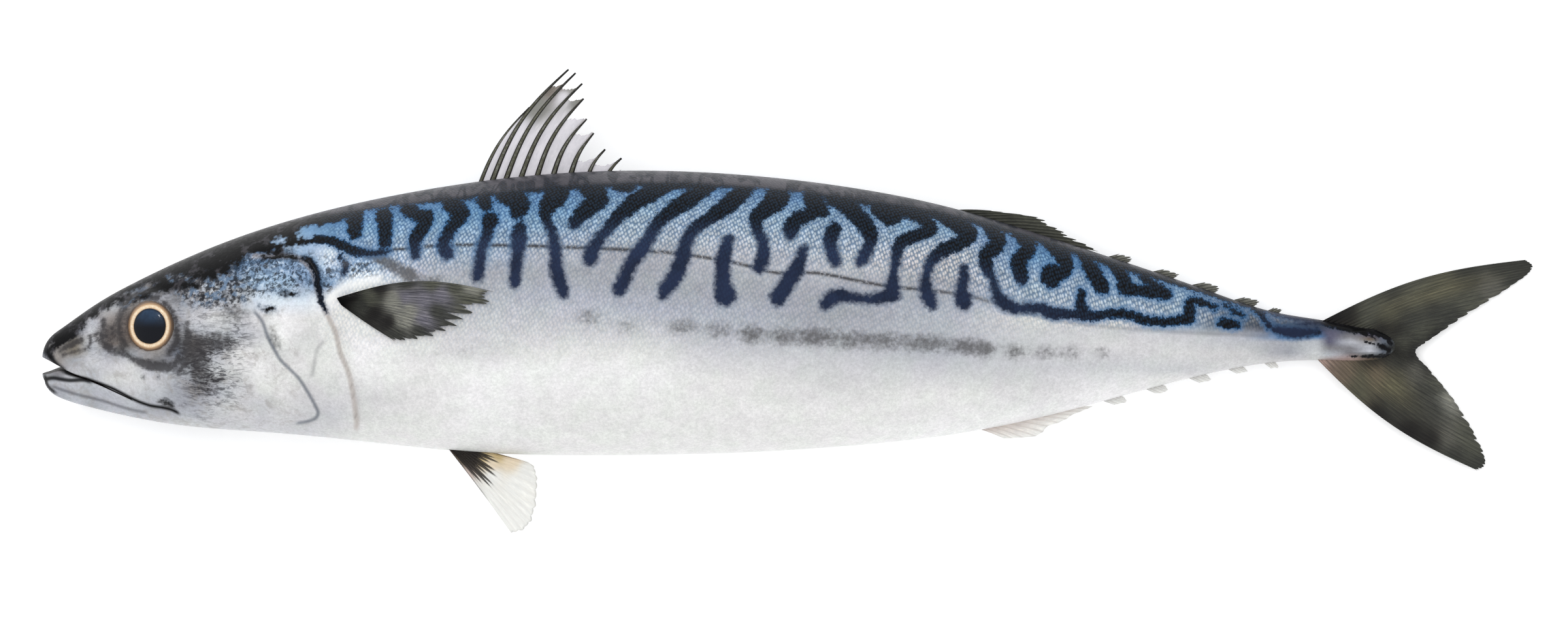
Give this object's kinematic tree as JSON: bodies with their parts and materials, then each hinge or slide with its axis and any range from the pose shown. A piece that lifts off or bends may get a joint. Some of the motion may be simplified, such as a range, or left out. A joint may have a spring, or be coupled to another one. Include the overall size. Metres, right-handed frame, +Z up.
{
  "type": "mackerel",
  "caption": "Whole raw Atlantic mackerel lying on its right flank, with mouth ajar, raised spiny dorsal fin, finlets along the tail stalk and a forked tail.",
  "frame": {"origin": "under the middle of the fish's box, on the surface that it lies on", "axes": "+X from the snout to the tail, +Y from the belly to the back, +Z up out of the left flank"},
  "size_m": [0.34, 0.1058, 0.0458],
  "materials": {
    "skin": "wet glossy scaled skin, dark wavy bars on a blue back, silver flank, white belly",
    "eye": "wet clear cornea over a dark pupil and a pale gold iris",
    "dorsal_fin": "dark olive spines with a thin torn lilac-white membrane",
    "dark_fin": "dark grey-brown rays, satin wet",
    "pale_fin": "translucent pinkish-white rays, satin wet",
    "pectoral_fin": "smoky grey rays with a paler middle, satin wet",
    "tail_fin": "dark olive-grey rays with yellowish streaks, satin wet"
  },
  "bodies": {
    "root": {"body": "skin", "left_eye": "eye", "right_eye": "eye", "first_dorsal_fin": "dorsal_fin", "second_dorsal_fin": "dark_fin", "anal_fin": "pale_fin", "dorsal_finlet_1": "dark_fin", "dorsal_finlet_2": "dark_fin", "dorsal_finlet_3": "dark_fin", "dorsal_finlet_4": "dark_fin", "dorsal_finlet_5": "dark_fin", "anal_finlet_1": "pale_fin", "anal_finlet_2": "pale_fin", "anal_finlet_3": "pale_fin", "anal_finlet_4": "pale_fin", "anal_finlet_5": "pale_fin", "left_pectoral_fin": "pectoral_fin", "right_pectoral_fin": "pectoral_fin", "left_pelvic_fin": "pale_fin", "right_pelvic_fin": "pale_fin", "tail_fin": "tail_fin"}
  },
  "joints": []
}
